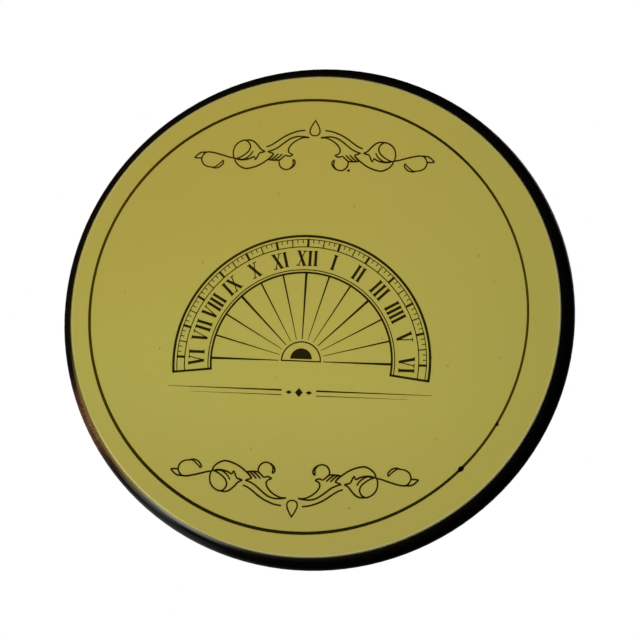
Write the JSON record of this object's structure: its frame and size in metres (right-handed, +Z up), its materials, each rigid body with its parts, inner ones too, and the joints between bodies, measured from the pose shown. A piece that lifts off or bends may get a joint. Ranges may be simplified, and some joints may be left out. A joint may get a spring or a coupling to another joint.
{
  "type": "equatorial sundial",
  "caption": "Desk sundial on a round turned base: a hinged hour ring with a pin gnomon is set to the latitude on a slotted quadrant, over a magnetic compass.",
  "frame": {"origin": "middle of the underside, on the surface that the base stands on", "axes": "+Z up; -Y to the north, where the ring is hinged; +X to the west, where the latitude quadrant stands"},
  "size_m": [0.09, 0.09, 0.0571],
  "materials": {
    "lacquered_wood": "near-black gloss lacquer over a brown stain",
    "gold_plate": "satin gold-coloured plate, printed in black",
    "engraved_brass": "brushed and lacquered, engraved lines filled black",
    "turned_brass": "turned and polished",
    "cast_brass": "cast and filed, satin",
    "screw_brass": "turned, slightly tarnished",
    "compass_card": "cream card with a printed rose",
    "steel": "bright steel",
    "blued_steel": "heat-blued steel, north end dark",
    "gasket": "thin black seat ring",
    "glass": "clear, flat"
  },
  "bodies": {
    "base": {"wood_base": "lacquered_wood", "label_plate": "gold_plate", "deck_plate": "engraved_brass", "deck_screws": "screw_brass", "compass_bowl": "turned_brass", "compass_card": "compass_card", "compass_pivot": "steel", "glass_gasket": "gasket", "compass_glass": "glass", "compass_bezel": "turned_brass", "hinge_bracket": "cast_brass", "hinge_screws": "screw_brass", "hinge_pin": "screw_brass", "hinge_washers": "cast_brass", "latitude_quadrant": "engraved_brass", "quadrant_screws": "screw_brass"},
    "ring": {"hour_ring": "engraved_brass", "clamp_stud": "screw_brass", "latitude_pointer": "cast_brass", "clamp_washer": "cast_brass"},
    "gnomon": {"gnomon_crossbar": "turned_brass", "gnomon_pin": "turned_brass", "crossbar_pivot_screw": "screw_brass"},
    "nut": {"clamp_nut": "turned_brass"},
    "needle": {"compass_needle": "blued_steel", "needle_cap": "turned_brass"}
  },
  "joints": [
    {"name": "ring_tilt", "type": "hinge", "parent": "base", "child": "ring", "pos_m": [0, -0.0275, 0.0192], "axis": [1, 0, 0], "range_deg": [-25, 35]},
    {"name": "gnomon_turn", "type": "hinge", "parent": "ring", "child": "gnomon", "pos_m": [0, -0.00805, 0.03865], "axis": [1, 0, 0], "range_deg": [-90, 90]},
    {"name": "clamp_nut_turn", "type": "hinge", "parent": "ring", "child": "nut", "pos_m": [0.031, -0.00805, 0.03865], "axis": [1, 0, 0], "range_deg": [0, 180]},
    {"name": "needle_spin", "type": "hinge", "parent": "base", "child": "needle", "pos_m": [0, 0, 0.0102], "axis": [0, 0, 1], "continuous": true}
  ]
}
